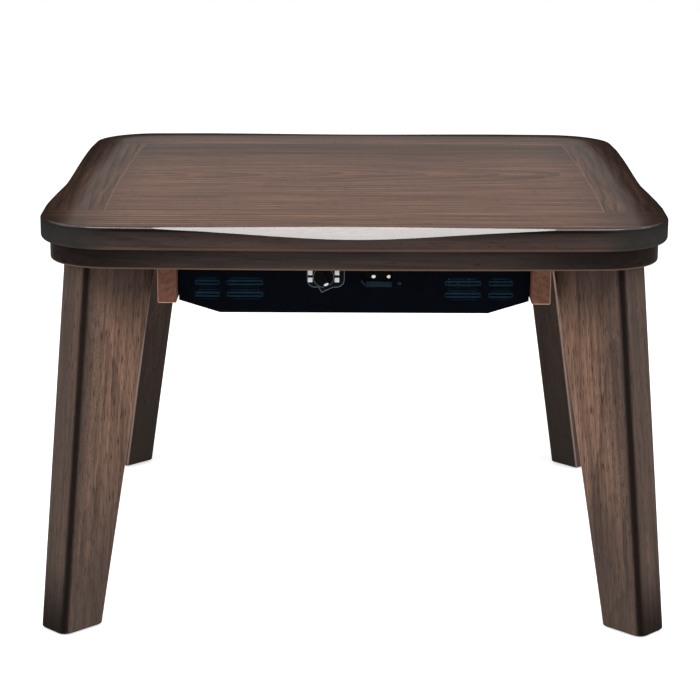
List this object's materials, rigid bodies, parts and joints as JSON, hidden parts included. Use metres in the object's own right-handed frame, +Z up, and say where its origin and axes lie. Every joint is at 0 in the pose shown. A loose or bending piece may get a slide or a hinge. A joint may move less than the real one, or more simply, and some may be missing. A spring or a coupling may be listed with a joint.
{
  "type": "kotatsu table",
  "caption": "Low square wooden table with a loose scooped-edge top, rim frame, diagonal tapered legs and a heater unit hung under the middle.",
  "frame": {"origin": "on the floor under the middle of the table", "axes": "+Z up, -Y towards the side with the dial and the power inlet, +X to the right seen from that side"},
  "size_m": [0.6, 0.6, 0.396],
  "materials": {
    "field_veneer": "satin lacquer",
    "edge_wood": "satin lacquer",
    "edge_wood_side": "satin lacquer",
    "rim_wood": "satin lacquer",
    "rim_wood_side": "satin lacquer",
    "leg_wood": "satin lacquer",
    "rail_wood": "stained",
    "block_wood": "stained",
    "dowel_wood": "raw",
    "pad_rubber": "matt",
    "glide_plastic": "matt",
    "bolt_steel": "zinc plated",
    "screw_steel": "zinc plated",
    "insert_brass": "nickel plated",
    "housing_black": "semi gloss black",
    "louvre_plastic": "matt",
    "bezel_plastic": "gloss",
    "mark_white": "printed",
    "dial_black": "gloss",
    "shaft_steel": "bright",
    "thermostat_plastic": "matt",
    "cutout_metal": "bright",
    "lead_rubber": "silicone sleeve",
    "reflector_metal": "bright",
    "quartz": "satin quartz",
    "coil_steel": "oxidised",
    "cap_ceramic": "matt"
  },
  "bodies": {
    "frame": {"rim_front": "rim_wood", "rim_rear": "rim_wood", "rim_left": "rim_wood_side", "rim_right": "rim_wood_side", "corner_blocks": "block_wood", "rim_dowels": "dowel_wood", "top_pads": "pad_rubber", "leg_front_left": "leg_wood", "leg_front_right": "leg_wood", "leg_rear_left": "leg_wood", "leg_rear_right": "leg_wood", "leg_bolts": "bolt_steel", "leg_washers": "bolt_steel", "leg_inserts": "insert_brass", "leg_glides": "glide_plastic", "cross_rail_left": "rail_wood", "cross_rail_right": "rail_wood", "rail_screws": "screw_steel", "heater_screws": "screw_steel", "heater_housing": "housing_black", "heater_bulkhead": "housing_black", "vent_louvres": "louvre_plastic", "dial_bezel": "bezel_plastic", "dial_marks": "mark_white", "thermostat": "thermostat_plastic", "thermostat_nut": "screw_steel", "inlet_socket": "thermostat_plastic", "inlet_pins": "insert_brass", "inlet_screw": "screw_steel", "terminal_block": "thermostat_plastic", "terminal_screws": "screw_steel", "overheat_cutout": "cutout_metal", "lead_wires": "lead_rubber", "lead_grommet": "pad_rubber", "reflector": "reflector_metal", "reflector_spacers": "shaft_steel", "reflector_screws": "screw_steel", "quartz_tubes": "quartz", "heating_coils": "coil_steel", "tube_caps": "cap_ceramic", "tube_brackets": "shaft_steel", "guard_frame": "housing_black", "guard_wires": "housing_black", "guard_rivets": "screw_steel"},
    "loose_top": {"top_field": "field_veneer", "top_edge_front": "edge_wood", "top_edge_rear": "edge_wood", "top_edge_left": "edge_wood_side", "top_edge_right": "edge_wood_side", "top_splines": "dowel_wood"},
    "dial": {"dial": "dial_black", "dial_pointer": "mark_white", "dial_shaft": "shaft_steel"}
  },
  "joints": [
    {"name": "top_lift", "type": "slide", "parent": "frame", "child": "loose_top", "axis": [0, 0, 1], "range_m": [0, 0.1]},
    {"name": "dial_turn", "type": "hinge", "parent": "frame", "child": "dial", "pos_m": [-0.029, -0.219, 0.335], "axis": [0, 1, 0], "range_deg": [0, 310]}
  ]
}
